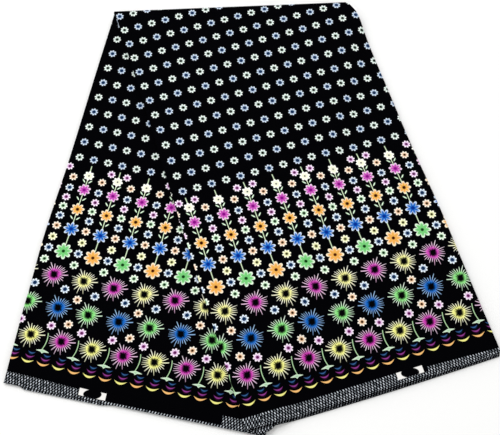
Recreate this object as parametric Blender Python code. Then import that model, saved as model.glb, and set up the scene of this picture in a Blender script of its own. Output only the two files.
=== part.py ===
# A folded length of wax print cotton.
#
# Six yards of printed cloth are folded in layers along their length into a long
# flat stack, as wide as one layer and as long as the cloth is wide. The stack is
# then doubled once across, on a slant, so that its two limbs fan out and show
# both selvedge borders. The left limb lies below, the right limb lies on it, and
# past the left limb's edge the right one comes down to the table.
#
# Metres, +Z up. The origin is under the middle of the footprint, on the table.
# u runs across the stack from its left edge, v runs along the stack from the
# level of the fold's left corner (plus to the right limb's hem, minus to the
# left limb's), and w is the depth of a layer, from the inside of the fold out.

import math
from collections import namedtuple

import bmesh
import bpy

CLOTH_LENGTH = 5.486
CLOTH_WIDTH = 1.220
LAYERS = 16
STACK_WIDTH = CLOTH_LENGTH / LAYERS
STACK_HEIGHT = 0.0065

FOLD_TILT = math.radians(2.8)
RIGHT_LEAN = math.radians(17.3)
BIAS = RIGHT_LEAN - FOLD_TILT
FOLD_CORNER = (-0.2053, 0.3066)
RIGHT_DROP = 0.6533
LEFT_DROP = CLOTH_WIDTH - RIGHT_DROP

WALL = 0.0012
SEAM_GAP = 0.0003
SKIN = WALL + SEAM_GAP
INNER_RADIUS = SEAM_GAP / 2
OUTER_RADIUS = INNER_RADIUS + STACK_HEIGHT

# The right limb bridges this far past the left one's edge, then comes down.
STEP_BRIDGE = 0.006
STEP_RUN = 0.030

SIDE_ROUND = 0.0022
CORNER_CUT = 0.010
CORNER_REACH = 0.018
GROOVE = 0.0006

# The left limb's inner layers thin out towards the hem, to this share of their
# height, and its front layer starts this far past the fold.
HEM_SETTLE = 0.030
HEM_HEIGHT = 0.55
FRONT_TUCK = 0.004

# One row for each pair of layers, inside of the fold first: how far the pair's
# folded edge stands out at the left side, at the right side and at the hems.
Pair = namedtuple("Pair", "left_side right_side hem")
PAIRS = (
    Pair(0.0004, -0.0006, 0.0000),
    Pair(-0.0005, 0.0003, 0.0006),
    Pair(0.0006, 0.0005, -0.0008),
    Pair(0.0000, -0.0004, 0.0004),
    Pair(-0.0007, 0.0006, -0.0005),
    Pair(0.0005, 0.0000, 0.0008),
    Pair(-0.0003, -0.0005, 0.0000),
)
FLUSH = Pair(0.0, 0.0, 0.0)

# The rounded edge of a pair of layers, over its share of the height: a groove
# between it and the pair inside it, then its bulge.
Line = namedtuple("Line", "height groove pair_middle pair")
EDGE_GROOVE = 0.0
EDGE_BULGE = (0.3, 0.75)

# How far a limb's outer side stands out from a straight line, at a share of the
# way from the fold to the hem.
Stand = namedtuple("Stand", "share out")
LEFT_LIMB_SIDE = (
    Stand(0.00, 0.0),
    Stand(0.42, 0.0),
    Stand(0.64, 0.0020),
    Stand(0.80, 0.0),
    Stand(1.00, -0.0034),
)
RIGHT_LIMB_SIDE = (
    Stand(0.00, 0.0),
    Stand(0.18, -0.0027),
    Stand(0.34, -0.0028),
    Stand(0.60, 0.0),
    Stand(1.00, 0.0005),
)

# The right hem bows out in its middle. Along part of the left hem, between two
# shares of its width, the inner layers stand out past the front one.
RIGHT_HEM_BOW = 0.0027
LEFT_HEM_PEEK = 0.0035
PEEK_FROM = 0.07
PEEK_TO = 0.45
PEEK_EASE = 0.04

COLUMNS = 36
RIGHT_ROWS = 40
FOLD_ROWS = 10
LEFT_ROWS = 16

PRINTED_BLACK = (0.010, 0.010, 0.014, 1.0)
LAYER_EDGE_BLACK = (0.020, 0.020, 0.024, 1.0)


def clear_scene():
    for item in list(bpy.data.objects):
        bpy.data.objects.remove(item, do_unlink=True)


def smooth(x):
    x = min(max(x, 0.0), 1.0)
    return x * x * (3.0 - 2.0 * x)


def side_stand(table, share):
    """A smooth curve through the rows of a side's table."""
    for above, below in zip(table, table[1:]):
        if share <= below.share:
            step = smooth((share - above.share) / (below.share - above.share))
            return above.out + (below.out - above.out) * step
    return table[-1].out


def half_bend(w):
    """Cloth that a layer at depth w spends on a quarter turn of the fold."""
    return math.pi / 2 * (INNER_RADIUS + w)


def along(u, s):
    """v of the point that lies at u across and s square to the fold line."""
    return (s + u * math.sin(BIAS)) / math.cos(BIAS)


def square_to_fold(u, v):
    return v * math.cos(BIAS) - u * math.sin(BIAS)


def past_left_limb(x, y):
    """How far a point of the plan lies beyond the left limb's right edge."""
    reach = STACK_WIDTH / math.cos(BIAS)
    edge_x = FOLD_CORNER[0] + reach * math.cos(FOLD_TILT)
    edge_y = FOLD_CORNER[1] + reach * math.sin(FOLD_TILT)
    left_lean = RIGHT_LEAN - 2 * FOLD_TILT
    return (x - edge_x) * math.cos(left_lean) - (y - edge_y) * math.sin(left_lean)


def place(u, v, w):
    """The folded position of the cloth's point u, v in the layer at depth w."""
    s = square_to_fold(u, v)
    q = u * math.cos(BIAS) + v * math.sin(BIAS)
    radius = INNER_RADIUS + w
    quarter = half_bend(w)
    turn = min(max(s / radius, -math.pi / 2), math.pi / 2)
    n = OUTER_RADIUS - radius * math.cos(turn) + max(abs(s) - quarter, 0.0)
    z = OUTER_RADIUS + radius * math.sin(turn)
    x = FOLD_CORNER[0] + q * math.cos(FOLD_TILT) + n * math.sin(FOLD_TILT)
    y = FOLD_CORNER[1] + q * math.sin(FOLD_TILT) - n * math.cos(FOLD_TILT)
    if s > 0:
        beyond = past_left_limb(x, y) - STEP_BRIDGE
        fall = smooth(beyond / STEP_RUN) * smooth(s / STEP_RUN)
        z -= fall * (STACK_HEIGHT + 2 * INNER_RADIUS)
    else:
        settle = HEM_HEIGHT + (1 - HEM_HEIGHT) * smooth((v + LEFT_DROP) / HEM_SETTLE)
        core = min(z, STACK_HEIGHT - SKIN)
        z -= core * (1 - settle)
    return (x, y, z)


def side_inset(w):
    """The stack's sides are round: a layer near its top or bottom lies further in."""
    level = min(abs(2 * w / STACK_HEIGHT - 1), 1.0)
    return SIDE_ROUND * (1 - math.sqrt(1 - level * level))


def across(fraction, w, s, line):
    """u of a point at a fraction of the way across the stack, between its sides."""
    inset = side_inset(w) + line.groove
    left = inset - line.pair.left_side
    right = STACK_WIDTH - inset + line.pair.right_side
    right -= CORNER_CUT * math.exp(-(s / CORNER_REACH) ** 2)
    if s > 0:
        right += side_stand(RIGHT_LIMB_SIDE, s / (RIGHT_DROP * math.cos(BIAS)))
    else:
        left -= side_stand(LEFT_LIMB_SIDE, -s / (LEFT_DROP * math.cos(BIAS)))
    return left + fraction * (right - left)


def row_turns(count):
    """Turns of the rows that go round the fold, from its top to its bottom."""
    return [math.pi / 2 * (1 - 2 * i / count) for i in range(count + 1)]


def right_row(share):
    """A row of the right limb, at a share of the way from its hem to the fold."""
    def s_at(u, w, hem_w, hem_out):
        bow = RIGHT_HEM_BOW * math.sin(math.pi * min(max(u / STACK_WIDTH, 0.0), 1.0))
        slip = math.pi / 2 * (w - hem_w)
        hem = square_to_fold(u, RIGHT_DROP + bow + hem_out + slip)
        return hem + (half_bend(w) - hem) * share
    return s_at


def fold_row(turn):
    """A row at one turn of the fold, from a quarter turn up to a quarter turn down."""
    def s_at(u, w, hem_w, hem_out):
        return turn * (INNER_RADIUS + w)
    return s_at


def left_row(share, start, peek=0.0):
    """A row of the left limb, from a start just past the fold to its hem."""
    def s_at(u, w, hem_w, hem_out):
        fraction = u / STACK_WIDTH
        ease_in = smooth((fraction - PEEK_FROM) / PEEK_EASE)
        ease_out = smooth((PEEK_TO - fraction) / PEEK_EASE)
        out = hem_out + peek * ease_in * ease_out
        hem = square_to_fold(u, -LEFT_DROP - out - math.pi / 2 * (w - hem_w))
        first = -half_bend(w) - start
        return first + (hem - first) * share
    return s_at


def layered_lines():
    """Lines that run round the edge of the stack, from its inside to its outside."""
    count = len(PAIRS)
    lines = []
    for number, pair in enumerate(PAIRS):
        middle = (number + 0.5) / count
        lines.append(Line((number + EDGE_GROOVE) / count, GROOVE, middle, pair))
        for share in EDGE_BULGE:
            lines.append(Line((number + share) / count, 0.0, middle, pair))
    lines.append(Line(1.0, GROOVE, middle, pair))
    return lines


def single_lines():
    """The two lines that run round the edge of a single layer."""
    return [Line(0.0, 0.0, 0.5, FLUSH), Line(1.0, 0.0, 0.5, FLUSH)]


def stack_block(name, rows, lines, colour, collection):
    """Closed loft through the rows, each a section across the stack.

    A row is the depths that it spans and the function that gives its place."""
    mesh = bmesh.new()
    last_line = len(lines) - 1
    points = {}
    for j, ((depth_from, depth_to), s_at) in enumerate(rows):
        for k, line in enumerate(lines):
            w = depth_from + line.height * (depth_to - depth_from)
            hem_w = depth_from + line.pair_middle * (depth_to - depth_from)
            hem_out = line.pair.hem - line.groove
            for i in range(COLUMNS + 1):
                on_skin = (i in (0, COLUMNS) or k in (0, last_line)
                           or j in (0, len(rows) - 1))
                if not on_skin:
                    continue
                fraction = i / COLUMNS
                s = s_at(STACK_WIDTH * fraction, w, hem_w, hem_out)
                u = across(fraction, w, s, line)
                s = s_at(u, w, hem_w, hem_out)
                points[i, k, j] = mesh.verts.new(place(u, along(u, s), w))

    def face(*keys):
        mesh.faces.new([points[key] for key in keys])

    for j in range(len(rows) - 1):
        for k in (0, last_line):
            for i in range(COLUMNS):
                face((i, k, j), (i + 1, k, j), (i + 1, k, j + 1), (i, k, j + 1))
        for i in (0, COLUMNS):
            for k in range(last_line):
                face((i, k, j), (i, k + 1, j), (i, k + 1, j + 1), (i, k, j + 1))
    for j in (0, len(rows) - 1):
        for k in range(last_line):
            for i in range(COLUMNS):
                face((i, k, j), (i + 1, k, j), (i + 1, k + 1, j), (i, k + 1, j))

    bmesh.ops.recalc_face_normals(mesh, faces=mesh.faces)
    data = bpy.data.meshes.new(name)
    mesh.to_mesh(data)
    mesh.free()
    data.shade_smooth()
    data.set_sharp_from_angle(angle=math.radians(40))
    data.materials.append(cloth_material(name, colour))
    piece = bpy.data.objects.new(name, data)
    collection.objects.link(piece)


def cloth_material(name, colour):
    material = bpy.data.materials.new(name)
    material.use_nodes = True
    shader = material.node_tree.nodes["Principled BSDF"]
    shader.inputs["Base Color"].default_value = colour
    shader.inputs["Roughness"].default_value = 0.75
    shader.inputs["Metallic"].default_value = 0.0
    return material


def hidden_layers(collection):
    """The layers between the two faces that show, round the fold from hem to hem."""
    inner = (0.0, STACK_HEIGHT - SKIN)
    outer = (SKIN, STACK_HEIGHT)
    rows = [(inner, right_row(i / RIGHT_ROWS)) for i in range(RIGHT_ROWS)]
    rows += [(inner, fold_row(turn)) for turn in row_turns(FOLD_ROWS)]
    rows.append((inner, left_row(0.0, SKIN / 3)))
    rows += [(outer, left_row(i / LEFT_ROWS, SKIN, LEFT_HEM_PEEK))
             for i in range(LEFT_ROWS + 1)]
    stack_block("folded_hidden_layers", rows, layered_lines(), LAYER_EDGE_BLACK, collection)


def right_front_layer(collection):
    """The face of the right limb, from its hem up and round the back of the fold."""
    depth = (STACK_HEIGHT - WALL, STACK_HEIGHT)
    rows = [(depth, right_row(i / RIGHT_ROWS)) for i in range(RIGHT_ROWS)]
    rows += [(depth, fold_row(turn)) for turn in row_turns(FOLD_ROWS)]
    stack_block("right_limb_front_layer", rows, single_lines(), PRINTED_BLACK, collection)


def left_front_layer(collection):
    """The face of the left limb, from inside the fold down to its hem."""
    depth = (0.0, WALL)
    rows = [(depth, left_row(i / LEFT_ROWS, FRONT_TUCK)) for i in range(LEFT_ROWS + 1)]
    stack_block("left_limb_front_layer", rows, single_lines(), PRINTED_BLACK, collection)


clear_scene()
wax_print_fabric = bpy.data.collections.new("wax_print_fabric")
bpy.context.scene.collection.children.link(wax_print_fabric)
hidden_layers(wax_print_fabric)
right_front_layer(wax_print_fabric)
left_front_layer(wax_print_fabric)
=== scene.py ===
# The looks of a folded length of wax print cotton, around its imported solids.

import math
from collections import namedtuple

import bmesh
import bpy
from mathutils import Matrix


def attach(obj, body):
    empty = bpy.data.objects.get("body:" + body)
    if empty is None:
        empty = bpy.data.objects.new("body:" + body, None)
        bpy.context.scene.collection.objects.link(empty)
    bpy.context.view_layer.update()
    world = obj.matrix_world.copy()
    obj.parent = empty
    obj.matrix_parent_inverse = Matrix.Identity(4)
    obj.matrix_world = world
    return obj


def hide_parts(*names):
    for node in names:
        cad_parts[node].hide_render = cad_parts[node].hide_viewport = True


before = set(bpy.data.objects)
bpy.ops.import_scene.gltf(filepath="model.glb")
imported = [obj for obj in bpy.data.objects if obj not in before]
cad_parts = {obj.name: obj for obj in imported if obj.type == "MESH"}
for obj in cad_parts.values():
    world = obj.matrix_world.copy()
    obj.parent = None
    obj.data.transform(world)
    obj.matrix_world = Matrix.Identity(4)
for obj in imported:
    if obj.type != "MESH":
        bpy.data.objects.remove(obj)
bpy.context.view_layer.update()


# The studio: a sheet of white paper on a table, a camera on a tall stand that looks
# down at the folded cloth, and light from a white room with one large soft lamp.

CAMERA_PLACE = (-0.0036, -0.6400, 1.3450)
CAMERA_TILT = math.radians(24.6)
LENS = 78.4
SENSOR = 36.0

FLOOR_SIDE = 8.0
FLOOR_SQUARES = 8
PAPER_WHITE = "#F9F9F8"
PAPER_ROUGHNESS = 0.9
PAPER_SHINE = 0.2
ROOM_WHITE = "#FFFFFF"
ROOM_LIGHT = 0.80

LAMP_PLACE = (-0.9, 0.9, 2.2)
LAMP_SIDE = 1.6
LAMP_POWER = 26.0


def linear(hex_colour):
    """A linear colour, with full alpha, from an sRGB hex value."""
    channels = [int(hex_colour[i:i + 2], 16) / 255 for i in (1, 3, 5)]
    return (*[c / 12.92 if c <= 0.04045 else ((c + 0.055) / 1.055) ** 2.4
              for c in channels], 1.0)


bpy.context.scene.view_settings.view_transform = "Standard"

camera = bpy.data.objects.new("camera", bpy.data.cameras.new("camera"))
bpy.context.scene.collection.objects.link(camera)
camera.location = CAMERA_PLACE
camera.rotation_euler = (CAMERA_TILT, 0.0, 0.0)
camera.data.lens = LENS
camera.data.sensor_width = SENSOR
camera.data.sensor_fit = "HORIZONTAL"
bpy.context.scene.camera = camera

paper = bpy.data.materials.new("matt white studio paper")
paper.use_nodes = True
paper_shader = paper.node_tree.nodes["Principled BSDF"]
paper_shader.inputs["Base Color"].default_value = linear(PAPER_WHITE)
paper_shader.inputs["Roughness"].default_value = PAPER_ROUGHNESS
paper_shader.inputs["Specular IOR Level"].default_value = PAPER_SHINE

floor_mesh = bmesh.new()
bmesh.ops.create_grid(floor_mesh, x_segments=FLOOR_SQUARES, y_segments=FLOOR_SQUARES,
                      size=FLOOR_SIDE / 2)
floor_data = bpy.data.meshes.new("paper_floor")
floor_mesh.to_mesh(floor_data)
floor_mesh.free()
floor_data.materials.append(paper)
paper_floor = bpy.data.objects.new("paper_floor", floor_data)
bpy.context.scene.collection.objects.link(paper_floor)

room = bpy.data.worlds.new("white room")
room.use_nodes = True
background = room.node_tree.nodes["Background"]
background.inputs["Color"].default_value = linear(ROOM_WHITE)
background.inputs["Strength"].default_value = ROOM_LIGHT
bpy.context.scene.world = room

lamp = bpy.data.objects.new("soft_lamp", bpy.data.lights.new("soft_lamp", "AREA"))
bpy.context.scene.collection.objects.link(lamp)
lamp.data.shape = "SQUARE"
lamp.data.size = LAMP_SIDE
lamp.data.energy = LAMP_POWER
lamp.location = LAMP_PLACE
lamp.rotation_euler = (-lamp.location).to_track_quat("-Z", "Y").to_euler()


# The face of the right limb: the outermost of sixteen layers of the length. It is one
# width of plain-weave cotton that runs from the right hem, round the back of the fold
# and on under the left limb. Its right edge is turned in to the layer below it.

CLOTH_LENGTH = 5.486
CLOTH_WIDTH = 1.220
LAYERS = 16
STACK_WIDTH = CLOTH_LENGTH / LAYERS
STACK_HEIGHT = 0.0065
LAYER_PITCH = STACK_HEIGHT / LAYERS
THICKNESS = 0.00034
TURN_RADIUS = LAYER_PITCH / 2

# A point of the cloth lies u across the stack, v along it and w deep in it, the innermost
# layer at 0. v is above 0 in the right limb and below 0 in the left one, and s is the
# distance square to the cross fold, which runs aslant over the stack by BIAS. Past the
# left limb's edge the right limb comes down to the table, in a slope STEP_RUN long.
FOLD_TILT = math.radians(2.8)
RIGHT_LEAN = math.radians(17.3)
BIAS = RIGHT_LEAN - FOLD_TILT
FOLD_CORNER = (-0.2053, 0.3066)
RIGHT_DROP = 0.6533
LEFT_DROP = CLOTH_WIDTH - RIGHT_DROP
INNER_RADIUS = 0.00015
OUTER_RADIUS = INNER_RADIUS + STACK_HEIGHT
STEP_BRIDGE = 0.006
STEP_RUN = 0.030
STEP_SINK = 8

# The stack's sides are a little round and the hidden layers lie in from the faces' edges.
# The fold's right corner is blunt, and the left limb is pressed flatter towards its hem.
SIDE_ROUND = 0.0006
HIDDEN_INSET = 0.0020
CORNER_CUT = 0.010
CORNER_REACH = 0.018
HEM_SETTLE = 0.030
HEM_HEIGHT = 0.55

# Each limb's free side bows out and in: by how much, at shares of the limb's length.
Stand = namedtuple("Stand", "share out")
LEFT_LIMB_SIDE = (
    Stand(0.00, 0.0),
    Stand(0.42, 0.0),
    Stand(0.64, 0.0020),
    Stand(0.80, 0.0),
    Stand(1.00, -0.0034),
)
RIGHT_LIMB_SIDE = (
    Stand(0.00, 0.0),
    Stand(0.18, -0.0027),
    Stand(0.34, -0.0028),
    Stand(0.60, 0.0),
    Stand(1.00, 0.0005),
)

# How far each layer's hem reaches past the limb's own length, innermost layer first.
# The layers have slipped round the fold in bundles, so the hems lie in steps.
Reach = namedtuple("Reach", "right left")
HEM_REACH = (
    Reach(0.0086, 0.0005), Reach(0.0084, 0.0000), Reach(0.0089, 0.0030),
    Reach(0.0091, 0.0033), Reach(0.0086, 0.0036), Reach(0.0071, 0.0031),
    Reach(0.0074, 0.0010), Reach(0.0070, -0.0005), Reach(0.0073, -0.0010),
    Reach(0.0068, -0.0016), Reach(0.0056, -0.0022), Reach(0.0053, -0.0028),
    Reach(0.0057, -0.0034), Reach(0.0052, -0.0041), Reach(0.0055, -0.0047),
    Reach(0.0060, -0.0055),
)

# The right hem bows out, and the left hem's steps show from one place across to another.
RIGHT_HEM_BOW = 0.0020
LEFT_STEP_AT = 0.024
LEFT_STEP_TO = 0.154
LEFT_STEP_EASE = 0.006
LEFT_STEP_FADE = 0.024

# Two inner layers poke out below the right hem's left end, and right at the corner all
# the layers below the face lie back.
TONGUE_LAYERS = (2.0, 3.0)
TONGUE_FROM = 0.006
TONGUE_TO = 0.036
TONGUE_EASE = 0.004
TONGUE_OUT = 0.0050
CORNER_BACK = 0.0040
CORNER_BACK_TO = 0.007

# Soft troughs in the upper layers: where each starts and ends along the stack, how far
# across it lies at both ends, how wide and how deep it is.
Trough = namedtuple("Trough", "v_from v_to u_from u_to width depth")
RIGHT_TROUGHS = (
    Trough(0.060, 0.640, 0.172, 0.168, 0.010, 0.00045),
    Trough(0.090, 0.300, 0.086, 0.079, 0.014, 0.00035),
    Trough(0.330, 0.640, 0.262, 0.270, 0.016, 0.00040),
    Trough(0.420, 0.600, 0.040, 0.052, 0.020, 0.00050),
    Trough(0.130, 0.260, 0.230, 0.318, 0.018, 0.00035),
)
LEFT_TROUGHS = (
    Trough(-0.540, -0.120, 0.092, 0.096, 0.012, 0.00040),
    Trough(-0.480, -0.250, 0.036, 0.024, 0.016, 0.00045),
    Trough(-0.550, -0.400, 0.140, 0.205, 0.020, 0.00040),
)


def smooth(x):
    """A step from 0 to 1 with a soft start and end."""
    x = min(max(x, 0.0), 1.0)
    return x * x * (3.0 - 2.0 * x)


def side_stand(table, share):
    """A smooth curve through the rows of a side's table."""
    for above, below in zip(table, table[1:]):
        if share <= below.share:
            step = smooth((share - above.share) / (below.share - above.share))
            return above.out + (below.out - above.out) * step
    return table[-1].out


def half_bend(w):
    """Cloth that a layer at depth w spends on a quarter turn of the fold."""
    return math.pi / 2 * (INNER_RADIUS + w)


def along(u, s):
    """v of the point that lies at u across and s square to the fold line."""
    return (s + u * math.sin(BIAS)) / math.cos(BIAS)


def square_to_fold(u, v):
    """s of the point that lies at u across and v along."""
    return v * math.cos(BIAS) - u * math.sin(BIAS)


def past_left_limb(x, y):
    """How far a point of the plan lies beyond the left limb's right edge."""
    reach = STACK_WIDTH / math.cos(BIAS)
    edge_x = FOLD_CORNER[0] + reach * math.cos(FOLD_TILT)
    edge_y = FOLD_CORNER[1] + reach * math.sin(FOLD_TILT)
    left_lean = RIGHT_LEAN - 2 * FOLD_TILT
    return (x - edge_x) * math.cos(left_lean) - (y - edge_y) * math.sin(left_lean)


def trough_depth(table, u, v):
    """How deep the troughs of a table are at a point of the cloth."""
    deep = 0.0
    for trough in table:
        share = (v - trough.v_from) / (trough.v_to - trough.v_from)
        if 0.0 < share < 1.0:
            middle = trough.u_from + (trough.u_to - trough.u_from) * share
            ends = math.sin(math.pi * share) ** 0.5
            deep += trough.depth * ends * math.exp(-((u - middle) / trough.width) ** 2)
    return deep


def place(u, v, w, sink=0.0):
    """The folded position of the cloth's point u, v in the layer at depth w.

    Layers with a sink lie a little deeper than their share below the face that shows."""
    s = square_to_fold(u, v)
    q = u * math.cos(BIAS) + v * math.sin(BIAS)
    w += sink * (STACK_HEIGHT * smooth(0.5 - s / STEP_RUN) - w)
    radius = INNER_RADIUS + w
    quarter = half_bend(w)
    turn = min(max(s / radius, -math.pi / 2), math.pi / 2)
    n = OUTER_RADIUS - radius * math.cos(turn) + max(abs(s) - quarter, 0.0)
    z = OUTER_RADIUS + radius * math.sin(turn)
    x = FOLD_CORNER[0] + q * math.cos(FOLD_TILT) + n * math.sin(FOLD_TILT)
    y = FOLD_CORNER[1] + q * math.sin(FOLD_TILT) - n * math.cos(FOLD_TILT)
    if s > 0:
        beyond = past_left_limb(x, y) - STEP_BRIDGE
        fall = smooth(beyond / STEP_RUN) * smooth(s / STEP_RUN)
        z -= fall * (STACK_HEIGHT + 2 * INNER_RADIUS)
        z -= STEP_SINK * sink * w * fall * (1 - fall)
        z -= trough_depth(RIGHT_TROUGHS, u, v) * w / STACK_HEIGHT
    else:
        settle = HEM_HEIGHT + (1 - HEM_HEIGHT) * smooth((v + LEFT_DROP) / HEM_SETTLE)
        core = min(z, STACK_HEIGHT)
        z -= core * (1 - settle)
        z -= trough_depth(LEFT_TROUGHS, u, v) * (1 - w / STACK_HEIGHT)
    return (x, y, z)


def side_inset(w):
    """The stack's sides are round: a layer near its top or bottom lies further in."""
    level = min(abs(2 * w / STACK_HEIGHT - 1), 1.0)
    return SIDE_ROUND * (1 - math.sqrt(1 - level * level))


# Folded edges stray from the side in two waves: how far, how quick, and how much each
# edge's wave is ahead of the last one's.
Wave = namedtuple("Wave", "height quick ahead")
SLOW = Wave(0.0004, 9.0, 2.4)
FAST = Wave(0.0002, 23.0, 5.1)
FAST_CHANGE = 5


def stray(edge, s):
    """How far a folded edge strays from the stack's side, which differs edge by edge."""
    slow = math.sin(SLOW.ahead * edge + s * (SLOW.quick + edge % 3))
    fast = math.sin(FAST.ahead * edge + s * (FAST.quick + FAST_CHANGE * (edge % 2)))
    return SLOW.height * slow + FAST.height * fast


# A point of a layer's cross-section: its share of the way across, how far out past that
# it lies, its depth in the stack, its layer, and the way that its outer side faces.
Section = namedtuple("Section", "share out depth layer face_u face_w")


def flat_run(layer, share_from, share_to, columns):
    """The points of one layer, from one side to the other."""
    depth = (layer + 0.5) * LAYER_PITCH
    way = 1.0 if share_to > share_from else -1.0
    return [Section(share_from + (share_to - share_from) * i / columns, 0.0, depth,
                    float(layer), 0.0, way) for i in range(columns + 1)]


def side_turn(layer, at_right, steps):
    """The points of a folded edge, from a layer to the one below it."""
    share, out = (1.0, 1.0) if at_right else (0.0, -1.0)
    points = []
    for i in range(1, steps):
        angle = math.pi * i / steps
        depth = layer * LAYER_PITCH + TURN_RADIUS * math.cos(angle)
        points.append(Section(share, out * TURN_RADIUS * math.sin(angle), depth,
                              layer - i / steps, math.sin(angle), out * math.cos(angle)))
    return points


def hem_reach(layer, u, right):
    """How far the hem of a layer reaches past the limb's length.

    A layer further out needs more cloth to get round the fold."""
    low = min(int(layer), LAYERS - 2)
    mix = layer - low
    first, second = HEM_REACH[low], HEM_REACH[low + 1]
    depth = (layer + 0.5) * LAYER_PITCH
    if right:
        reach = first.right + (second.right - first.right) * mix
        reach += RIGHT_HEM_BOW * math.sin(math.pi * min(max(u / STACK_WIDTH, 0.0), 1.0))
        if layer < LAYERS - 1:
            reach -= CORNER_BACK * (1 - smooth(u / CORNER_BACK_TO))
        if TONGUE_LAYERS[0] <= layer <= TONGUE_LAYERS[1]:
            rise = smooth((u - TONGUE_FROM) / TONGUE_EASE)
            reach += TONGUE_OUT * rise * smooth((TONGUE_TO - u) / TONGUE_EASE)
        return reach - math.pi / 2 * (STACK_HEIGHT - depth)
    reach = first.left + (second.left - first.left) * mix
    if layer > 1.0 and reach > 0.0:
        step = smooth((u - LEFT_STEP_AT) / LEFT_STEP_EASE)
        reach *= step * smooth((LEFT_STEP_TO - u) / LEFT_STEP_FADE)
    return reach + math.pi / 2 * depth


def row_place(row, u, layer, w):
    """s of a row at one point of the section. A row is a stretch and a share of it."""
    stretch, share = row
    if stretch == "right limb":
        hem = square_to_fold(u, RIGHT_DROP + hem_reach(layer, u, True))
        return hem + (half_bend(w) - hem) * share
    if stretch == "fold":
        return math.pi / 2 * (1 - 2 * share) * (INNER_RADIUS + w)
    hem = square_to_fold(u, -LEFT_DROP - hem_reach(layer, u, False))
    return -half_bend(w) + (hem + half_bend(w)) * share


def across(share, w, s, layer, inset):
    """u of a point at a share of the way across a layer, between its two sides.

    Cloth that goes further round the slanting fold comes out further along it, and the
    folded edges at the left were squared up again, each right under the one above."""
    inset += side_inset(w)
    slip = half_bend(STACK_HEIGHT) - half_bend(w) if s > 0 else half_bend(w)
    slip *= math.sin(BIAS) * smooth(abs(s) / STEP_RUN)
    if w < LAYER_PITCH and s > 0:
        slip += HIDDEN_INSET * smooth(s / STEP_RUN)
    left = inset + slip + stray((layer + 1) // 2, s)
    right = STACK_WIDTH - inset + stray(layer // 2 + LAYERS, s)
    right -= CORNER_CUT * math.exp(-(s / CORNER_REACH) ** 2)
    if s > 0:
        right += side_stand(RIGHT_LIMB_SIDE, s / (RIGHT_DROP * math.cos(BIAS)))
    else:
        left -= side_stand(LEFT_LIMB_SIDE, -s / (LEFT_DROP * math.cos(BIAS)))
    return left + share * (right - left)


def all_rows(right_rows, fold_rows, left_rows):
    """The rows of a sheet, from the right limb's hem to the left limb's."""
    rows = [("right limb", i / right_rows) for i in range(right_rows)]
    rows += [("fold", i / fold_rows) for i in range(fold_rows)]
    return rows + [("left limb", i / left_rows) for i in range(left_rows + 1)]


RIGHT_ROWS = 130
FOLD_ROWS = 8
LEFT_ROWS = 112

# The columns of a baked picture of one sheet: the half that shows, the half that lies
# below, and the side that faces the other layers.
BAKE_SHOWN = (0.010, 0.600)
BAKE_BELOW = (0.635, 0.930)
BAKE_INNER = (0.955, 0.992)
BAKE_ENDS = (0.012, 0.988)
BAKE_EDGE = 0.008
BAKE_SPLIT = RIGHT_ROWS + FOLD_ROWS
SHARP_BEND = math.radians(60)


def bake_place(key, keys, last_row, last_point, columns):
    """Where one corner of a face lies in the baked picture of its sheet."""
    j, k, side = key
    sides = {one for _, _, one in keys}
    if sides == {-1}:
        (left, right), (first, last) = BAKE_INNER, (0, last_row)
    elif min(row for row, _, _ in keys) < BAKE_SPLIT:
        (left, right), (first, last) = columns[0], (0, BAKE_SPLIT)
    else:
        (left, right), (first, last) = columns[1], (BAKE_SPLIT, last_row)
    low, high = BAKE_ENDS
    x = left + (right - left) * k / last_point
    y = low + (high - low) * (j - first) / (last - first)
    if len(sides) == 2 and side == -1:
        x += BAKE_EDGE * ((k == last_point) - (k == 0))
        y += BAKE_EDGE * ((j == last_row) - (j == 0))
    return (x, y)


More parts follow.
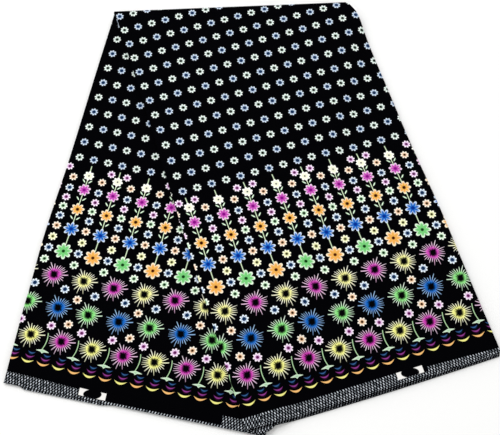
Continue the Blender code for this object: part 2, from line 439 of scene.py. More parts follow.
def cloth_sheet(name, path, rows, print_at, selvedge_at, material,
                bake_columns=None, sink=0.0, inset=0.0):
    """A thin closed sheet that follows a path of section points through all its rows.

    The cloth's print lies in two maps, in metres: one for the border and the field, and
    one for the marks along the selvedge. A face also has a map for a baked picture."""
    mesh = bmesh.new()
    print_map = mesh.loops.layers.uv.new("print")
    selvedge_map = mesh.loops.layers.uv.new("selvedge")
    bake_map = mesh.loops.layers.uv.new("OFBake") if bake_columns else None
    last_row, last_point = len(rows) - 1, len(path) - 1
    maps = {}
    grid = {}
    for j, row in enumerate(rows):
        for k, point in enumerate(path):
            for side in (1, -1):
                w = point.depth + side * point.face_w * THICKNESS / 2
                out = point.out + side * point.face_u * THICKNESS / 2
                s = row_place(row, STACK_WIDTH * point.share, point.layer, point.depth)
                u = across(point.share, point.depth, s, point.layer, inset) + out
                s = row_place(row, u, point.layer, point.depth)
                v = along(u, s)
                vertex = mesh.verts.new(place(u, v, w, sink))
                grid[j, k, side] = vertex
                maps[vertex] = (print_at(u, v, point.layer), selvedge_at(u, v, point.layer))

    def face(*keys):
        made = mesh.faces.new([grid[key] for key in keys])
        made.smooth = True
        for loop, key in zip(made.loops, keys):
            loop[print_map].uv, loop[selvedge_map].uv = maps[loop.vert]
            if bake_columns:
                loop[bake_map].uv = bake_place(key, keys, last_row, last_point, bake_columns)

    for j in range(last_row):
        for k in range(last_point):
            face((j, k, 1), (j, k + 1, 1), (j + 1, k + 1, 1), (j + 1, k, 1))
            face((j, k, -1), (j + 1, k, -1), (j + 1, k + 1, -1), (j, k + 1, -1))
        face((j, 0, 1), (j + 1, 0, 1), (j + 1, 0, -1), (j, 0, -1))
        face((j, last_point, 1), (j, last_point, -1),
             (j + 1, last_point, -1), (j + 1, last_point, 1))
    for k in range(last_point):
        face((0, k, 1), (0, k, -1), (0, k + 1, -1), (0, k + 1, 1))
        face((last_row, k, 1), (last_row, k + 1, 1),
             (last_row, k + 1, -1), (last_row, k, -1))
    bmesh.ops.recalc_face_normals(mesh, faces=mesh.faces)
    data = bpy.data.meshes.new(name)
    mesh.to_mesh(data)
    mesh.free()
    data.set_sharp_from_angle(angle=SHARP_BEND)
    data.materials.append(material)
    piece = bpy.data.objects.new(name, data)
    bpy.context.scene.collection.objects.link(piece)
    return piece


# Places in the print, in metres: across from a stem column with a green flower, and up
# from the selvedge. The width was printed a little askew and pulled in the folding, so at
# each height above the hem the columns have moved across, and the rows up and askew.
# Past the cloth's middle the print is mirrored.
Drift = namedtuple("Drift", "rise across up tilt widen")
RIGHT_PULL = (
    Drift(0.020, 0.0637, 0.0004, 0.000, 0.000),
    Drift(0.061, 0.0638, 0.0003, 0.000, 0.000),
    Drift(0.100, 0.0624, 0.0003, 0.002, 0.000),
    Drift(0.140, 0.0621, 0.0001, 0.003, 0.000),
    Drift(0.180, 0.0606, 0.0002, 0.003, 0.000),
    Drift(0.220, 0.0599, 0.0003, 0.003, 0.000),
    Drift(0.260, 0.0598, -0.0006, 0.000, 0.002),
    Drift(0.300, 0.0589, -0.0003, 0.007, 0.006),
    Drift(0.340, 0.0562, -0.0004, 0.008, 0.008),
    Drift(0.380, 0.0545, -0.0001, 0.006, 0.008),
    Drift(0.420, 0.0534, -0.0004, 0.012, 0.010),
    Drift(0.460, 0.0521, -0.0007, 0.010, 0.010),
    Drift(0.500, 0.0507, -0.0016, 0.002, 0.006),
    Drift(0.540, 0.0494, -0.0021, -0.003, 0.004),
    Drift(0.600, 0.0475, -0.0010, 0.004, 0.006),
    Drift(1.300, 0.0252, -0.0016, 0.000, 0.000),
)

# At the hem the print is EDGE_RISE above its own edge. The right limb's marks have their
# patch at RIGHT_LABEL, and run away from the hem towards its right end.
EDGE_RISE = 0.0070
PRINT_MIDDLE = 0.6152
TILT_AT = 0.170
RIGHT_LABEL = 0.2045
RIGHT_STRIP_START = 0.5
RIGHT_EDGE_BEND = 0.0040
RIGHT_BEND_FROM = 0.243


def pull_at(table, rise):
    """The row of a table of pulls, at any height above the hem."""
    for below, above in zip(table, table[1:]):
        if rise <= above.rise or above is table[-1]:
            share = (rise - below.rise) / (above.rise - below.rise)
            return Drift(*[low + (high - low) * share for low, high in zip(below, above)])


def right_print(u, v, layer):
    rise = RIGHT_DROP - v
    pull = pull_at(RIGHT_PULL, rise)
    return ((u - pull.across) * (1 + pull.widen),
            rise + EDGE_RISE + pull.up + pull.tilt * (u - TILT_AT))


def right_selvedge(u, v, layer):
    rise = RIGHT_DROP - v
    bend = RIGHT_EDGE_BEND * max(u - RIGHT_BEND_FROM, 0.0) / (STACK_WIDTH - RIGHT_BEND_FROM)
    return (u - RIGHT_LABEL + RIGHT_STRIP_START, rise + EDGE_RISE + bend)


# The print, on cotton in plain weave. Rollers print clear colours on a black ground, right
# through the cloth, and leave the flowers white at the tips. It is calendered, so it looks
# deep matt black with crisp bright flowers and hardly any sheen.

MM = 1000.0
REPEAT = 41.3
GROUND = "#020204"
COTTON_ROUGHNESS = 0.82
COTTON_SHINE = 0.012
INK_EDGE = 0.35

# The tops of the scales on which a stepped table holds heights, sizes and turns.
TABLE_TOP = 400.0
SIZE_TOP = 40.0
TURN_TOP = 180.0

printed = bpy.data.materials.new("printed calendered cotton")
printed.use_nodes = True
tree = printed.node_tree
shader = tree.nodes["Principled BSDF"]
shader.inputs["Roughness"].default_value = COTTON_ROUGHNESS
shader.inputs["Specular IOR Level"].default_value = COTTON_SHINE


def add(kind, *inputs, **settings):
    """Adds one node with its settings and, in order, its inputs' links or values.

    A kind in capitals is an operation of a Math node. Gives the node's first output."""
    if kind.isupper():
        kind, settings["operation"] = "Math", kind
    node = tree.nodes.new("ShaderNode" + kind)
    for name, value in settings.items():
        setattr(node, name, value)
    for socket, value in zip(node.inputs, inputs):
        if isinstance(value, bpy.types.NodeSocket):
            tree.links.new(value, socket)
        else:
            socket.default_value = value
    return node.outputs[0]


def stepped(value, places, steps):
    """Three numbers or a colour that hold from each place up to the next one."""
    node = add("ValToRGB", value).node
    bands = node.color_ramp
    bands.interpolation = "CONSTANT"
    while len(bands.elements) < len(steps):
        bands.elements.new(1.0)
    for element, start, step in zip(bands.elements, places, steps):
        element.position = start
        element.color = step
    return node.outputs[0]


def by_row(height, rows, steps):
    """Steps up the border that change midway between two rows of motifs."""
    middles = [0.0] + [(low.rise + high.rise) / 2 / TABLE_TOP
                       for low, high in zip(rows, rows[1:])]
    return stepped(height, middles, steps)


def inked(inside):
    """How much ink lies at a distance inside an outline, with a slightly soft edge."""
    return add("MULTIPLY_ADD", inside, 1 / INK_EDGE, 0.5, use_clamp=True)


def nearest(value, pitch, phase=0.0):
    """How far a place lies from the nearest line of a repeat."""
    moved = add("SUBTRACT", value, phase)
    return add("WRAP", moved, pitch / 2, -pitch / 2)


def away_from(value, pitch, phase, limit):
    """1 where a place lies further than a limit from the nearest line of a repeat."""
    offset = add("ABSOLUTE", nearest(value, pitch, phase))
    return add("GREATER_THAN", offset, limit)


def mirrored(value):
    """A height above the selvedge, in millimetres, mirrored at the cloth's middle."""
    past = add("MULTIPLY_ADD", value, MM, -PRINT_MIDDLE * MM)
    past = add("ABSOLUTE", past)
    return add("SUBTRACT", PRINT_MIDDLE * MM, past)


def polar(x, y):
    """The distance from a motif's middle and the angle round it."""
    square = add("MULTIPLY", x, x)
    square = add("MULTIPLY_ADD", y, y, square)
    return add("POWER", square, 0.5), add("ARCTAN2", y, x)


# The flowers, bottom row first: height above the selvedge, radius, and radius of the dark
# centre, in millimetres; the share of the radius at the notches, how round the petals are
# and how many degrees they are turned; and the colours of tips, roots and centre.
Flower = namedtuple("Flower", "rise radius heart notch round turn tip root centre")
PETALS = 8
SMALL = (0.60, 1.9, 0.0)
BLUE_STAR = ("#EAF2F8", "#5A88B8", "#082A50")
PINK_STAR = ("#FCEFFA", "#C985CC", "#5A144E")
LEAF_STAR = ("#F2FAEE", "#A6D3A2", "#12361A")
APRICOT_STAR = ("#FBF2E4", "#E0AC78", "#341602")
LEMON_STAR = ("#FBFAE0", "#D8DA94", "#36360E")
GAP_FLOWERS = (
    Flower(86.0, 6.2, 2.3, *SMALL, *PINK_STAR),
    Flower(139.8, 6.2, 3.0, *SMALL, *BLUE_STAR),
    Flower(176.3, 6.2, 2.3, *SMALL, *LEAF_STAR),
    Flower(193.6, 6.2, 3.0, *SMALL, *BLUE_STAR),
    Flower(210.3, 6.2, 2.0, *SMALL, *LEMON_STAR),
    Flower(227.5, 6.2, 2.0, *SMALL, *APRICOT_STAR),
    Flower(243.8, 6.2, 3.0, *SMALL, *BLUE_STAR),
    Flower(259.3, 6.2, 2.3, *SMALL, *LEAF_STAR),
    Flower(273.8, 5.9, 2.4, *SMALL, *PINK_STAR),
    Flower(289.1, 5.9, 3.0, *SMALL, *BLUE_STAR),
    Flower(306.4, 5.9, 2.0, *SMALL, *APRICOT_STAR),
)
STEM_FLOWERS = (
    Flower(93.3, 6.2, 2.0, *SMALL, *APRICOT_STAR),
    Flower(129.4, 6.2, 2.0, *SMALL, *APRICOT_STAR),
    Flower(192.7, 12.0, 2.5, 0.55, 2.2, 15.0, "#F4FDEE", "#74CC76", "#0E3A12"),
    Flower(226.6, 10.8, 3.0, 0.45, 1.9, 0.0, "#E8F4FF", "#1E6CC6", "#0A2E8C"),
    Flower(258.2, 9.7, 2.7, 0.55, 2.0, 12.0, "#FFF8E6", "#F0B050", "#3A0E02"),
    Flower(289.5, 9.2, 2.6, 0.55, 2.0, 22.5, "#FFECFC", "#C648B6", "#800C7C"),
    Flower(312.2, 7.4, 1.3, 0.70, 1.6, 0.0, "#FFFFF6", "#F0F0D8", "#1A1A10"),
)

# Every second column starts with an orange flower in place of the green one. Only those
# columns have small flowers between the rows of daisies, and two more beside their top.
ORANGE_COLUMN = REPEAT
ORANGE_STAR = ("#FFF6E0", "#F0AE52", "#4A1404")
ORANGE_FROM = 170.0
ORANGE_TO = 209.0
FLANK = Flower(321.6, 5.8, 2.2, *SMALL, *PINK_STAR)
FLANK_ACROSS = 11.2

# The field above the columns: rows of small flowers, blue and white by turns.
FIELD_WHITE = Flower(338.0, 5.8, 2.5, *SMALL, "#EEF6F2", "#A4BCAC", "#06140A")
FIELD_BLUE = Flower(338.0, 5.8, 3.0, *SMALL, "#D4E0EE", "#5A88B8", "#082A50")
FIELD_ROW = 25.2
FIELD_FROM = 327.4

# Where the white of the tips starts and is full, as shares of a petal's reach, for a small
# flower and for a large one, which keeps its colour nearly to the tips.
SMALL_RADIUS, LARGE_RADIUS = 6.5, 9.0
TIPS_START = (0.36, 0.64)
TIPS_FULL = (0.84, 1.00)
CENTRE_NOTCH = 0.35


def bloom(below, x, y, shape, colours, present=1.0):
    """Lays a flower over what is below it.

    The shape is radius, heart, notch, roundness and turn in radians."""
    radius, heart, notch, roundness, turn = shape
    distance, angle = polar(x, y)
    turned = add("ADD", angle, turn)
    petal = add("PINGPONG", turned, math.pi / PETALS)
    petal = add("MULTIPLY", petal, PETALS / math.pi)
    petal = add("POWER", petal, roundness)
    dip = add("SUBTRACT", 1.0, notch)
    reach = add("MULTIPLY", petal, dip)
    reach = add("SUBTRACT", 1.0, reach)
    reach = add("MULTIPLY", reach, radius)
    cover = inked(add("SUBTRACT", reach, distance))
    cover = add("MULTIPLY", cover, present)
    share = add("DIVIDE", distance, reach)
    start = add("MapRange", radius, SMALL_RADIUS, LARGE_RADIUS, *TIPS_START)
    full = add("MapRange", radius, SMALL_RADIUS, LARGE_RADIUS, *TIPS_FULL)
    share = add("MapRange", share, start, full, 0.0, 1.0)
    colour = add("MixRGB", share, colours[1], colours[0])
    ragged = add("MULTIPLY_ADD", petal, -CENTRE_NOTCH, 1.0)
    dark = add("MULTIPLY", heart, ragged)
    dark = inked(add("SUBTRACT", dark, distance))
    return add("MixRGB", cover, below, add("MixRGB", dark, colour, colours[2]))


def rows_of_bloom(below, x, up, height, rows, present=1.0, other=None, other_at=None):
    """Lays a column of flowers, each row with its own size and colours."""
    sizes = by_row(height, rows, [
        (row.rise / TABLE_TOP, row.radius / SIZE_TOP, row.heart / SIZE_TOP, 1.0) for row in rows])
    forms = by_row(height, rows, [
        (row.notch, row.round / SIZE_TOP, row.turn / TURN_TOP, 1.0) for row in rows])
    rise, radius, heart = add("SeparateColor", sizes).node.outputs
    notch, roundness, turn = add("SeparateColor", forms).node.outputs
    rise = add("MULTIPLY", rise, TABLE_TOP)
    radius, heart, roundness = [add("MULTIPLY", share, SIZE_TOP)
                                for share in (radius, heart, roundness)]
    turn = add("MULTIPLY", turn, math.pi)
    y = add("SUBTRACT", up, rise)
    colours = [by_row(height, rows, [linear(getattr(row, part)) for row in rows])
               for part in ("tip", "root", "centre")]
    if other:
        colours = [add("MixRGB", other_at, colour, linear(new))
                   for colour, new in zip(colours, other)]
    return bloom(below, x, y, (radius, heart, notch, roundness, turn), colours, present)


def columns_of_flowers(colour, across_print, column, gap, up, height):
    """Lays the flowers on the stalks, in the gaps and beside the orange columns' top."""
    second_column = away_from(across_print, 2 * REPEAT, 0.0, REPEAT / 2)
    above_daisies = add("GREATER_THAN", up, ORANGE_FROM)
    present = add("MAXIMUM", above_daisies, second_column)
    orange = add("LESS_THAN", up, ORANGE_TO)
    orange = add("MULTIPLY", orange, above_daisies)
    orange = add("MULTIPLY", orange, second_column)
    colour = rows_of_bloom(colour, column, up, height, STEM_FLOWERS, present,
                           ORANGE_STAR, orange)
    colour = rows_of_bloom(colour, gap, up, height, GAP_FLOWERS)
    x = nearest(across_print, 2 * REPEAT, ORANGE_COLUMN)
    x = add("ABSOLUTE", x)
    x = add("SUBTRACT", x, FLANK_ACROSS)
    y = add("SUBTRACT", up, FLANK.rise)
    return bloom(colour, x, y, FLANK[1:6], [linear(ink) for ink in FLANK[6:]])


def field_of_flowers(colour, across_print, up):
    """Lays the field, whose flowers change colour by turns along and across."""
    x = nearest(across_print, REPEAT / 2)
    y = nearest(up, FIELD_ROW, FIELD_WHITE.rise)
    odd_column = away_from(across_print, REPEAT, 0.0, REPEAT / 4)
    odd_row = away_from(up, 2 * FIELD_ROW, FIELD_WHITE.rise, FIELD_ROW / 2)
    white = add("SUBTRACT", odd_column, odd_row)
    white = add("ABSOLUTE", white)
    in_field = add("GREATER_THAN", up, FIELD_FROM)
    inks = [add("MixRGB", white, linear(blue), linear(pale))
            for blue, pale in zip(FIELD_BLUE[6:], FIELD_WHITE[6:])]
    heart = add("MapRange", white, 0.0, 1.0, FIELD_BLUE.heart, FIELD_WHITE.heart)
    shape = (FIELD_WHITE.radius, heart, *FIELD_WHITE[3:6])
    return bloom(colour, x, y, shape, inks, in_field)


# The big daisies, bottom row first: height, how far the row is shifted across, the colours
# of its two kinds and the second kind's tips. Each has a dark centre that fades out in
# spikes, a bright ring, and a loose head of thin rays with white streaks along them.
# Two waves round the head make its rays uneven.
Daisy = namedtuple("Daisy", "rise shift first second second_tip")
DAISIES = (
    Daisy(68.0, 0.0, "#EFEF88", "#C83CAE", "#FFFFFF"),
    Daisy(112.8, REPEAT / 2, "#84DC7A", "#1464BE", "#B8DCF6"),
    Daisy(157.3, 0.0, "#CE44B6", "#EFED98", "#FFFFFF"),
)
FIRST_TIP = "#FFFFFF"
RAYS = 25
RAY_LONGEST = 18.8
RAY_SHORTER = 6.0
RAY_SWELL = 0.4
RAY_ROOT, RAY_TIP = 0.58, 0.34
RAY_LEAN = 0.010
RAY_BUNCH = 0.030
RAY_WAVES = (3.0, 5.0)
RAY_WAVE_START = 1.3
RAY_FAINT = 0.85
STREAK_FROM, STREAK_FULL = 6.6, 12.4
STREAK_CORE, STREAK_EDGE = 0.2, 0.7
STREAK_UNEVEN = 0.45
RING = 10.2
RING_SWELL = 0.5
RING_NOTCH = 13.0
RING_RAGGED = 2.0
HEART_DARK, HEART_CLEAR = 1.4, 4.6
HEART_NOTCH = 9.0
HEART_SPIKE = 2.6
HEART_FADE = 2.0


def daisy(below, x, y, colour, tip):
    """Lays a daisy whose rays are uneven in length, spacing, lean and brightness."""
    distance, angle = polar(x, y)
    wave = add("MULTIPLY", angle, RAY_WAVES[0])
    wave = add("SINE", wave)
    second = add("MULTIPLY_ADD", angle, RAY_WAVES[1], RAY_WAVE_START)
    second = add("SINE", second)
    uneven = add("ADD", wave, second)
    out = add("SUBTRACT", distance, RING)
    out = add("MAXIMUM", out, 0.0)
    lean = add("MULTIPLY", wave, RAY_LEAN)
    leaning = add("MULTIPLY_ADD", out, lean, angle)
    leaning = add("MULTIPLY_ADD", uneven, RAY_BUNCH, leaning)
    ray = add("PINGPONG", leaning, math.pi / RAYS)
    number = add("MULTIPLY", leaning, RAYS / (2 * math.pi))
    number = add("ROUND", number)
    number = add("FLOORED_MODULO", number, RAYS)
    chance = add("TexWhiteNoise", (0.0, 0.0, 0.0), number, noise_dimensions="1D")
    chance = add("SeparateColor", chance.node.outputs["Color"])
    short, paler, deep = chance.node.outputs

    length = add("MULTIPLY_ADD", short, -RAY_SHORTER, RAY_LONGEST)
    length = add("MULTIPLY_ADD", uneven, RAY_SWELL, length)
    aside = add("MULTIPLY", ray, distance)
    line = add("MapRange", distance, RING, length, RAY_ROOT, RAY_TIP)
    line = add("SUBTRACT", line, aside)
    ends = add("SUBTRACT", length, distance)
    rays = add("MINIMUM", line, ends)
    rim = add("MULTIPLY_ADD", uneven, RING_SWELL, RING)
    rim = add("MULTIPLY_ADD", ray, -RING_NOTCH, rim)
    rim = add("MULTIPLY_ADD", short, -RING_RAGGED, rim)
    ring = add("SUBTRACT", rim, distance)
    cover = inked(add("MAXIMUM", rays, ring))

    pale = add("MapRange", distance, STREAK_FROM, STREAK_FULL, 0.0, 1.0)
    paler = add("MULTIPLY_ADD", paler, STREAK_UNEVEN, 1.0 - STREAK_UNEVEN)
    pale = add("MULTIPLY", pale, paler)
    streak = add("MapRange", aside, STREAK_CORE, STREAK_EDGE, 1.0, 0.0)
    pale = add("MULTIPLY", pale, streak)
    tinted = add("MixRGB", pale, colour, tip)
    faint = add("MapRange", distance, RING, RAY_LONGEST, 0.0, RAY_FAINT)
    faint = add("MULTIPLY", faint, deep)
    tinted = add("MixRGB", faint, tinted, linear(GROUND))
    spiked = add("MULTIPLY_ADD", ray, -HEART_NOTCH, distance)
    spiked = add("MULTIPLY_ADD", deep, -HEART_SPIKE, spiked)
    shade = add("MapRange", spiked, HEART_DARK, HEART_CLEAR, 0.0, 1.0)
    shade = add("POWER", shade, HEART_FADE)
    return add("MixRGB", cover, below, add("MixRGB", shade, linear(GROUND), tinted))


def rows_of_daisies(colour, across_print, up, height):
    """Lays the three rows of daisies, each of two kinds by turns."""
    places = by_row(height, DAISIES, [
        (row.rise / TABLE_TOP, row.shift / TABLE_TOP, 0.0, 1.0) for row in DAISIES])
    rise, shift, _ = add("SeparateColor", places).node.outputs
    y = add("MULTIPLY_ADD", rise, -TABLE_TOP, up)
    moved = add("MULTIPLY_ADD", shift, -TABLE_TOP, across_print)
    x = nearest(moved, REPEAT)
    other_kind = away_from(moved, 2 * REPEAT, 0.0, REPEAT / 2)
    first, second, tip = [
        by_row(height, DAISIES, [linear(getattr(row, part)) for row in DAISIES])
        for part in ("first", "second", "second_tip")]
    ink = add("MixRGB", other_kind, first, second)
    tip = add("MixRGB", other_kind, linear(FIRST_TIP), tip)
    return daisy(colour, x, y, ink, tip)


# Below the daisies a leaf of two wings stands under a bent stalk in each gap, over a row
# of nested crescents: height, shift across, half width, depth of the lower and of the
# upper curve, and colour. The lowest ones are yellow and orange by turns.
LEAF_GREEN = "#D8EFD4"
LOW_GREEN = "#B2DAA6"
WING_VEIN = "#5FA866"
VEIN_SHARE = 0.5
WING_RIM = (0.5, 1.5)
WING_SHIFT = 1.5
WING_RISE = 48.6
WING_HALF = 8.8
WING_TOP = 2.7
WING_FULL = 0.7
WING_FOOT = 0.9
WING_POINT = 2.0
WING_NARROW = 0.26
LOW_STALK = (50.5, 74.8)
LOW_STALK_HALF = 0.52
BEND_MIDDLE = 63.0
BEND_OUT = 1.9
BEND_CURVE = 0.0137
Crescent = namedtuple("Crescent", "rise shift half low high colour")
CRESCENTS = (
    Crescent(46.0, -1.6, 5.2, 5.4, 1.0, "#0B1534"),
    Crescent(45.4, -2.0, 4.7, 3.0, 1.5, "#34608F"),
    Crescent(40.4, -1.0, 6.4, 5.6, 1.2, "#2E0A26"),
    Crescent(40.6, -1.0, 6.0, 4.0, 2.2, "#8C3A8A"),
    Crescent(34.4, 0.0, 8.4, 5.1, 2.4, "#F0EC8A"),
)
CRESCENT_ORANGE = "#F2BC74"
CRESCENT_PHASE = 13.2


def crescent(below, x, y, shape, colour):
    """Lays a crescent that opens upwards and ends in two points."""
    square = add("MULTIPLY", x, x)
    belly = add("MULTIPLY_ADD", square, -1 / shape.half ** 2, 1.0)
    above = add("MULTIPLY_ADD", belly, shape.low, y)
    under = add("MULTIPLY_ADD", belly, shape.high, y)
    under = add("MULTIPLY", under, -1.0)
    cover = inked(add("MINIMUM", above, under))
    return add("MixRGB", cover, below, colour)


def stroke(below, offset, half_width, low, high, height, colour):
    """Lays a stroke along a line, between two heights."""
    aside = add("ABSOLUTE", offset)
    inside = add("SUBTRACT", half_width, aside)
    middle = add("SUBTRACT", height, (low + high) / 2)
    middle = add("ABSOLUTE", middle)
    ends = add("SUBTRACT", (high - low) / 2, middle)
    cover = inked(add("MINIMUM", inside, ends))
    return add("MixRGB", cover, below, colour)


def wing_leaf(below, x, up):
    """Lays a leaf of two spread wings, with a small point below the middle."""
    side = add("MULTIPLY", x, -1 / WING_HALF)
    side = add("ABSOLUTE", side)
    left = add("SUBTRACT", 1.0, side)
    left = add("MAXIMUM", left, 0.0)
    upper = add("POWER", left, WING_FULL)
    y = add("SUBTRACT", up, WING_RISE)
    under_top = add("MULTIPLY", upper, WING_TOP)
    under_top = add("SUBTRACT", under_top, y)
    point = add("MULTIPLY_ADD", side, -WING_POINT / WING_NARROW, WING_POINT)
    point = add("MAXIMUM", point, 0.0)
    above_foot = add("MULTIPLY_ADD", left, WING_FOOT, y)
    above_foot = add("ADD", above_foot, point)
    inside = add("MINIMUM", under_top, above_foot)
    ends = add("MULTIPLY_ADD", left, WING_HALF, -INK_EDGE)
    cover = inked(add("MINIMUM", inside, ends))
    vein = add("MapRange", inside, *WING_RIM, 0.0, VEIN_SHARE)
    colour = add("MixRGB", vein, linear(LEAF_GREEN), linear(WING_VEIN))
    return add("MixRGB", cover, below, colour)


def low_border(colour, across_print, gap, up):
    """Lays the crescents, then the stalks and the leaves that stand over them."""
    for shape in CRESCENTS:
        x = nearest(across_print, REPEAT / 2, CRESCENT_PHASE + shape.shift)
        y = add("SUBTRACT", up, shape.rise)
        ink = linear(shape.colour)
        if shape is CRESCENTS[-1]:
            orange = away_from(across_print, REPEAT, CRESCENT_PHASE + REPEAT / 2, REPEAT / 4)
            ink = add("MixRGB", orange, ink, linear(CRESCENT_ORANGE))
        colour = crescent(colour, x, y, shape, ink)
    bend = add("SUBTRACT", up, BEND_MIDDLE)
    bend = add("MULTIPLY", bend, bend)
    bend = add("MULTIPLY_ADD", bend, -BEND_CURVE, BEND_OUT)
    bend = add("ADD", gap, bend)
    colour = stroke(colour, bend, LOW_STALK_HALF, *LOW_STALK, up, linear(LOW_GREEN))
    return wing_leaf(colour, nearest(across_print, REPEAT, REPEAT / 2 - WING_SHIFT), up)


# Above the daisies a straight stalk joins the flowers of each column, with a pair of small
# narrow leaves between one flower and the next.
STALK_GREEN = "#CFE2BE"
STALK_HALF = 0.62
STALK = (192.6, 327.6)
Leaf = namedtuple("Leaf", "rise")
LEAVES = (Leaf(244.2), Leaf(275.1), Leaf(303.3))
LEAF_OUT = 4.5
LEAF_LEAN = math.radians(48)
LEAF_HALF_LENGTH = 3.1
LEAF_HALF_WIDTH = 0.85


def leafy_stalks(colour, column, up, height):
    """Lays the stalks, then each leaf as an oval that points up and out."""
    colour = stroke(colour, column, STALK_HALF, *STALK, up, linear(STALK_GREEN))
    rise = by_row(height, LEAVES, [(leaf.rise / TABLE_TOP,) * 3 + (1.0,) for leaf in LEAVES])
    y = add("MULTIPLY_ADD", rise, -TABLE_TOP, up)
    side = add("ABSOLUTE", column)
    side = add("SUBTRACT", side, LEAF_OUT)
    rise = add("MULTIPLY", y, math.sin(LEAF_LEAN))
    long_way = add("MULTIPLY_ADD", side, math.cos(LEAF_LEAN), rise)
    fall = add("MULTIPLY", y, math.cos(LEAF_LEAN))
    wide_way = add("MULTIPLY_ADD", side, -math.sin(LEAF_LEAN), fall)
    long_way = add("MULTIPLY", long_way, 1 / LEAF_HALF_LENGTH)
    wide_way = add("MULTIPLY", wide_way, 1 / LEAF_HALF_WIDTH)
    distance, _ = polar(long_way, wide_way)
    inside = add("SUBTRACT", 1.0, distance)
    return add("MixRGB", inked(inside), colour, linear(LEAF_GREEN))


# The marks along the selvedge: rows of short slanting ticks, and a plain pale patch with
# a dark oval on each limb. The ticks are drawn coarser than they would be, so that they
# show. From each place along, they fill the cloth between two heights.
TICK_PITCH = 3.8
TICK_WIDTH = 1.2
TICK_ROW = 3.5
TICK_LENGTH = 2.7
TICK_SLANT = 0.30
TICK_COLOUR = "#DCE2EA"
TICK_DIM = "#5A6268"
TICK_UNEVEN = 0.24
DIM_BELOW, BRIGHT_ABOVE = 0.38, 0.62
ALONG_FROM = -400.0
ALONG_TO = 700.0
RIGHT_FROM = 320.0
RIGHT_STRIP = 500.0
Zone = namedtuple("Zone", "along low high")
TICK_ZONES = (
    Zone(ALONG_FROM, -2.0, 16.6),
    Zone(2.0, -2.0, 9.2),
    Zone(37.0, 5.2, 8.6),
    Zone(183.0, 5.2, 20.8),
    Zone(265.0, -2.0, 15.8),
    Zone(RIGHT_STRIP + 4.0, -2.0, 6.2),
    Zone(RIGHT_STRIP + 38.0, -2.0, 12.2),
)
PATCH_COLOUR = "#F2F0EC"
PATCH_WIDTH = 35.0
PATCH_HEIGHT = 9.3
LEFT_PATCH_RISE = 13.95
RIGHT_PATCH_RISE = 10.85
OVAL = (11.6, 6.4)
OVAL_TILT = 0.14
OVAL_EDGE = (0.97, 1.03)


def ticks(along_mm, from_edge, way):
    """How much of a tick lies at a place, between the edges that the zones give."""
    along = add("MapRange", along_mm, ALONG_FROM, ALONG_TO, 0.0, 1.0)
    places = [(zone.along - ALONG_FROM) / (ALONG_TO - ALONG_FROM) for zone in TICK_ZONES]
    edges = stepped(along, places, [
        (zone.low / TABLE_TOP, zone.high / TABLE_TOP, 0.0, 1.0) for zone in TICK_ZONES])
    low, high, _ = add("SeparateColor", edges).node.outputs
    low = add("MULTIPLY", low, TABLE_TOP)
    high = add("MULTIPLY", high, TABLE_TOP)
    slant = add("MULTIPLY", way, TICK_SLANT)
    slanted = add("MULTIPLY_ADD", from_edge, slant, along_mm)
    odd_row = away_from(from_edge, 2 * TICK_ROW, 0.0, TICK_ROW / 2)
    slanted = add("MULTIPLY_ADD", odd_row, TICK_PITCH / 2, slanted)
    x = add("ABSOLUTE", nearest(slanted, TICK_PITCH))
    x = add("SUBTRACT", TICK_WIDTH / 2, x)
    y = add("ABSOLUTE", nearest(from_edge, TICK_ROW))
    y = add("SUBTRACT", TICK_LENGTH / 2, y)
    tick = inked(add("MINIMUM", x, y))
    tick = add("MULTIPLY", tick, add("LESS_THAN", from_edge, high))
    return add("MULTIPLY", tick, add("GREATER_THAN", from_edge, low))


def selvedge_marks(colour):
    """Lays the ticks, unevenly bright, and one patch on each side of the cloth."""
    edge_map = add("UVMap", uv_map="selvedge")
    sideways, upward, _ = add("SeparateXYZ", edge_map).node.outputs
    along_mm = add("MULTIPLY", sideways, MM)
    from_edge = mirrored(upward)
    on_right = add("GREATER_THAN", along_mm, RIGHT_FROM)
    way = add("MULTIPLY_ADD", on_right, 2.0, -1.0)
    tick = ticks(along_mm, from_edge, way)
    thread = add("CombineXYZ", along_mm, from_edge, 0.0)
    uneven = add("TexNoise", thread, 0.0, TICK_UNEVEN)
    uneven = add("MapRange", uneven, DIM_BELOW, BRIGHT_ABOVE, 0.0, 1.0)
    ink = add("MixRGB", uneven, linear(TICK_DIM), linear(TICK_COLOUR))
    colour = add("MixRGB", tick, colour, ink)

    middle = add("MULTIPLY_ADD", on_right, RIGHT_STRIP, PATCH_WIDTH / 2)
    x = add("SUBTRACT", along_mm, middle)
    rise = add("MapRange", on_right, 0.0, 1.0, LEFT_PATCH_RISE, RIGHT_PATCH_RISE)
    y = add("SUBTRACT", from_edge, rise)
    aside = add("SUBTRACT", PATCH_WIDTH / 2, add("ABSOLUTE", x))
    beyond = add("SUBTRACT", PATCH_HEIGHT / 2, add("ABSOLUTE", y))
    patch = inked(add("MINIMUM", aside, beyond))
    tilt = add("MULTIPLY", way, OVAL_TILT)
    y = add("MULTIPLY_ADD", x, tilt, y)
    x = add("MULTIPLY", x, 1 / OVAL[0])
    y = add("MULTIPLY", y, 1 / OVAL[1])
    oval, _ = polar(x, y)
    pale = add("MapRange", oval, *OVAL_EDGE, 0.0, 1.0)
    ink = add("MixRGB", pale, linear(GROUND), linear(PATCH_COLOUR))
    return add("MixRGB", patch, colour, ink)


# The weave of single threads is finer than a picture shows, so it is drawn three times as
# coarse. Thicker threads here and there make it a little uneven.
WEAVE_PITCH = 1.2
WEAVE_DEPTH = 0.00004
SLUB_SCALE = 0.15
SLUB_SHARE = 2.0


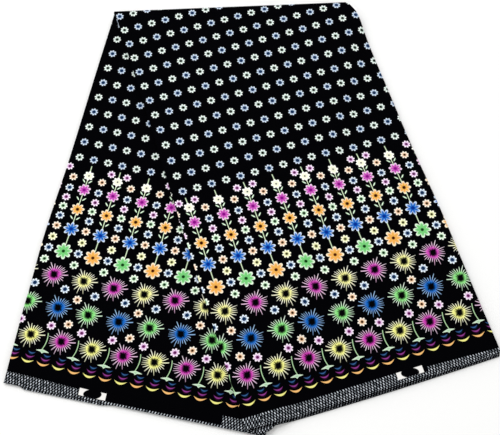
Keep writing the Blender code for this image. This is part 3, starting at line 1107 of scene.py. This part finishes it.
def woven(across_print, up):
    """The surface's direction on the weave's small bumps."""
    warp = add("MULTIPLY", across_print, 2 * math.pi / WEAVE_PITCH)
    warp = add("SINE", warp)
    weft = add("MULTIPLY", up, 2 * math.pi / WEAVE_PITCH)
    weft = add("SINE", weft)
    weave = add("MULTIPLY", warp, weft)
    threads = add("CombineXYZ", across_print, up, 0.0)
    slub = add("TexNoise", threads, 0.0, SLUB_SCALE)
    weave = add("MULTIPLY_ADD", slub, SLUB_SHARE, weave)
    bump = add("Bump")
    bump.node.inputs["Distance"].default_value = WEAVE_DEPTH
    tree.links.new(weave, bump.node.inputs["Height"])
    return bump


# The whole print: each kind of motif is laid over the ones before it.
print_map = add("UVMap", uv_map="print")
sideways, upward, _ = add("SeparateXYZ", print_map).node.outputs
across_print = add("MULTIPLY", sideways, MM)
up = mirrored(upward)
height = add("MULTIPLY", up, 1 / TABLE_TOP)
column = nearest(across_print, REPEAT)
gap = nearest(across_print, REPEAT, REPEAT / 2)
colour = low_border(linear(GROUND), across_print, gap, up)
colour = leafy_stalks(colour, column, up, height)
colour = rows_of_daisies(colour, across_print, up, height)
colour = columns_of_flowers(colour, across_print, column, gap, up, height)
colour = field_of_flowers(colour, across_print, up)
colour = selvedge_marks(colour)
tree.links.new(colour, shader.inputs["Base Color"])
tree.links.new(woven(across_print, up), shader.inputs["Normal"])


# The sheet itself: its face, the turn at its right edge and the strip that is turned in.
FACE_COLUMNS = 70
TURN_STEPS = 6
TUCK = 0.012
OUTERMOST = LAYERS - 1

right_path = flat_run(OUTERMOST, 0.0, 1.0, FACE_COLUMNS)
right_path += side_turn(OUTERMOST, True, TURN_STEPS)
right_path += flat_run(OUTERMOST - 1, 1.0, 1.0 - TUCK, 1)
right_limb_face = cloth_sheet("right_limb_face", right_path,
                              all_rows(RIGHT_ROWS, FOLD_ROWS, LEFT_ROWS),
                              right_print, right_selvedge, printed,
                              (BAKE_SHOWN, BAKE_BELOW))
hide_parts("right_limb_front_layer")
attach(right_limb_face, "root")


# The face of the left limb: the innermost layer, the other end of the same length. It
# shows the other side of the cloth, so its print runs the other way, and it goes on up
# under the right limb. Its right edge is turned in to the layer above it.

# The left limb's print is pulled in its own way, and dips at the hem's left end.
LEFT_PULL = (
    Drift(0.020, 0.0172, -0.0041, 0.000, 0.000),
    Drift(0.061, 0.0204, -0.0028, 0.000, 0.000),
    Drift(0.100, 0.0240, -0.0015, -0.003, 0.000),
    Drift(0.140, 0.0262, -0.0006, -0.004, 0.000),
    Drift(0.180, 0.0294, 0.0007, -0.004, 0.000),
    Drift(0.220, 0.0313, 0.0018, 0.000, 0.000),
    Drift(0.260, 0.0320, 0.0021, -0.015, 0.006),
    Drift(0.300, 0.0338, 0.0030, -0.018, 0.006),
    Drift(0.340, 0.0341, 0.0035, -0.021, 0.009),
    Drift(0.450, 0.0350, 0.0060, -0.021, 0.009),
    Drift(1.300, 0.0450, 0.0120, 0.000, 0.000),
)
LEFT_SELVEDGE_LIFT = 0.0040
LEFT_DIP = 0.0048
LEFT_DIP_TO = 0.130
LEFT_LABEL = 0.101


def left_print(u, v, layer):
    rise = v + LEFT_DROP
    pull = pull_at(LEFT_PULL, rise)
    dip = LEFT_DIP * (1 - smooth(u / LEFT_DIP_TO))
    return ((pull.across - u) * (1 + pull.widen),
            rise + EDGE_RISE + pull.up + pull.tilt * (u - TILT_AT) - dip)


def left_selvedge(u, v, layer):
    return (u - LEFT_LABEL, left_print(u, v, layer)[1] + LEFT_SELVEDGE_LIFT)


left_path = flat_run(1, 1.0 - TUCK, 1.0, 1) + side_turn(1, True, TURN_STEPS)
left_path += flat_run(0, 1.0, 0.0, FACE_COLUMNS)
left_limb_face = cloth_sheet("left_limb_face", left_path,
                             all_rows(RIGHT_ROWS, FOLD_ROWS, LEFT_ROWS),
                             left_print, left_selvedge, printed,
                             (BAKE_BELOW, BAKE_SHOWN))
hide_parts("left_limb_front_layer")
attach(left_limb_face, "root")


# The layers in between: fourteen widths of the same length, folded to and fro. Their
# folded edges make the stack's sides, and their selvedges show below the faces' hems.

HIDDEN_COLUMNS = 37
HIDDEN_ROWS_RIGHT = 48
HIDDEN_ROWS_FOLD = 6
HIDDEN_ROWS_LEFT = 24
HIDDEN_SINK = 0.05

# The first and the last of them start short of the strip that each face turns in.
TUCK_GAP = 0.004
START = 1.0 - TUCK - TUCK_GAP


def unrolled(u, layer):
    """How far along the whole length a point of a layer lies."""
    whole = math.floor(layer)
    folded = (LAYERS - 1 - whole) * STACK_WIDTH
    if layer > whole:
        return folded
    return folded + (u if whole % 2 else STACK_WIDTH - u)


def selvedge_rise(u, v, layer):
    """How far up the print a point lies, from its own layer's right hem to its left."""
    from_right = RIGHT_DROP + hem_reach(layer, u, True) - v
    from_left = LEFT_DROP + hem_reach(layer, u, False) + v
    return 2 * PRINT_MIDDLE * from_right / (from_right + from_left)


def hidden_print(u, v, layer):
    return (unrolled(u, layer) - RIGHT_PULL[0].across, selvedge_rise(u, v, layer))


def hidden_selvedge(u, v, layer):
    return (ALONG_FROM / MM + u, selvedge_rise(u, v, layer))


hidden_path = []
for layer in range(LAYERS - 2, 0, -1):
    to_left = layer % 2 == 0
    first = START if layer == LAYERS - 2 else 1.0 if to_left else 0.0
    last = START if layer == 1 else 0.0 if to_left else 1.0
    hidden_path += flat_run(layer, first, last, HIDDEN_COLUMNS)
    if layer > 1:
        hidden_path += side_turn(layer, not to_left, TURN_STEPS)
hidden_layers = cloth_sheet("hidden_layers", hidden_path,
                            all_rows(HIDDEN_ROWS_RIGHT, HIDDEN_ROWS_FOLD, HIDDEN_ROWS_LEFT),
                            hidden_print, hidden_selvedge, printed,
                            sink=HIDDEN_SINK, inset=HIDDEN_INSET)
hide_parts("folded_hidden_layers")
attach(hidden_layers, "root")
